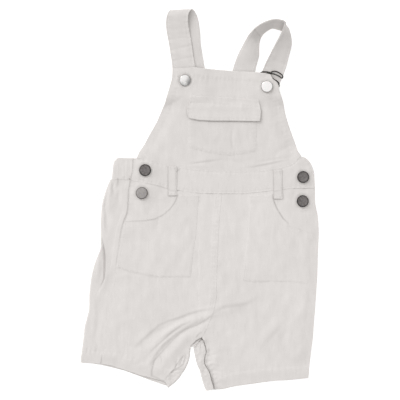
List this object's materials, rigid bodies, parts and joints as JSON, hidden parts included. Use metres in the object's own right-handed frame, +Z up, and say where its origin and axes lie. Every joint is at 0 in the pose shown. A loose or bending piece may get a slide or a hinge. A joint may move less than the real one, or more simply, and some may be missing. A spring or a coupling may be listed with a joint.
{
  "type": "short dungarees",
  "caption": "Toddler's short dungarees laid flat: bib with flap pocket, shoulder straps with wire adjuster, elastic back waist, buttoned side openings and hip patch pockets.",
  "frame": {"origin": "on the underside, under the middle of the garment's box", "axes": "+X across the garment to the viewer's right, +Y from the hems to the shoulder straps, +Z up from the surface it lies on, through the back to the front"},
  "size_m": [0.2968, 0.475, 0.0269],
  "materials": {
    "linen": "slubby plain-weave linen and cotton cloth, undyed cream, matt",
    "dark_wire": "dark burnished round wire",
    "nickel": "nickel plate, satin",
    "pewter": "antique pewter plate, satin, darker in the rim groove"
  },
  "bodies": {
    "root": {"leg_back_left": "linen", "leg_back_right": "linen", "leg_front_left": "linen", "leg_front_right": "linen", "waistband_front": "linen", "waistband_back": "linen", "bib": "linen", "bib_pocket": "linen", "bib_flap": "linen", "pocket_left": "linen", "pocket_right": "linen", "belt_loop_left": "linen", "belt_loop_right": "linen", "strap_left": "linen", "strap_right": "linen", "adjuster": "dark_wire", "button_bib_left": "nickel", "button_bib_right": "nickel", "button_side_left_upper": "pewter", "button_side_left_lower": "pewter", "button_side_right_upper": "pewter", "button_side_right_lower": "pewter"}
  },
  "joints": []
}
